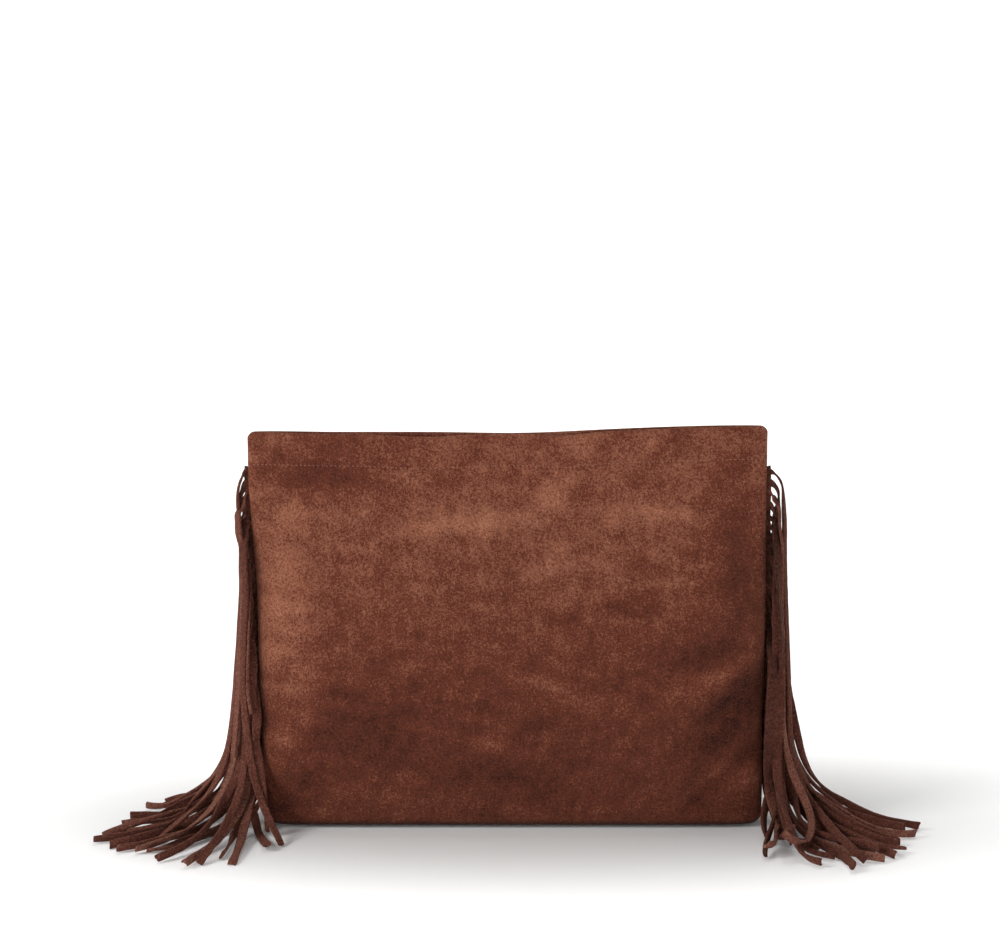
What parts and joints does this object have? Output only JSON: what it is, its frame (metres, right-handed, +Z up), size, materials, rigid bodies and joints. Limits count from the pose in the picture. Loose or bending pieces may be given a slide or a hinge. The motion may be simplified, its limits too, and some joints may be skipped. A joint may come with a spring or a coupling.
{
  "type": "fringed suede bag",
  "caption": "Flat suede pouch bag with a folded base, turned and stitched hem, magnetic snap at the mouth and long strip fringes sewn into both side seams.",
  "frame": {"origin": "the middle of the base, on the surface that the bag stands on", "axes": "+Z up towards the mouth, -Y out of the front, +X along the mouth to the right as seen from the front"},
  "size_m": [0.5094, 0.1403, 0.2423],
  "materials": {
    "suede": "napped suede, matt, reddish brown",
    "lining": "plain woven lining, matt",
    "board": "raw fibre board",
    "snap_metal": "nickel plate, satin"
  },
  "bodies": {
    "root": {"suede_body": "suede", "fringe_left": "suede", "fringe_right": "suede", "lining_bag": "lining", "base_board": "board", "snap_socket": "snap_metal", "snap_stud": "snap_metal", "snap_socket_washer": "snap_metal", "snap_stud_washer": "snap_metal"}
  },
  "joints": []
}
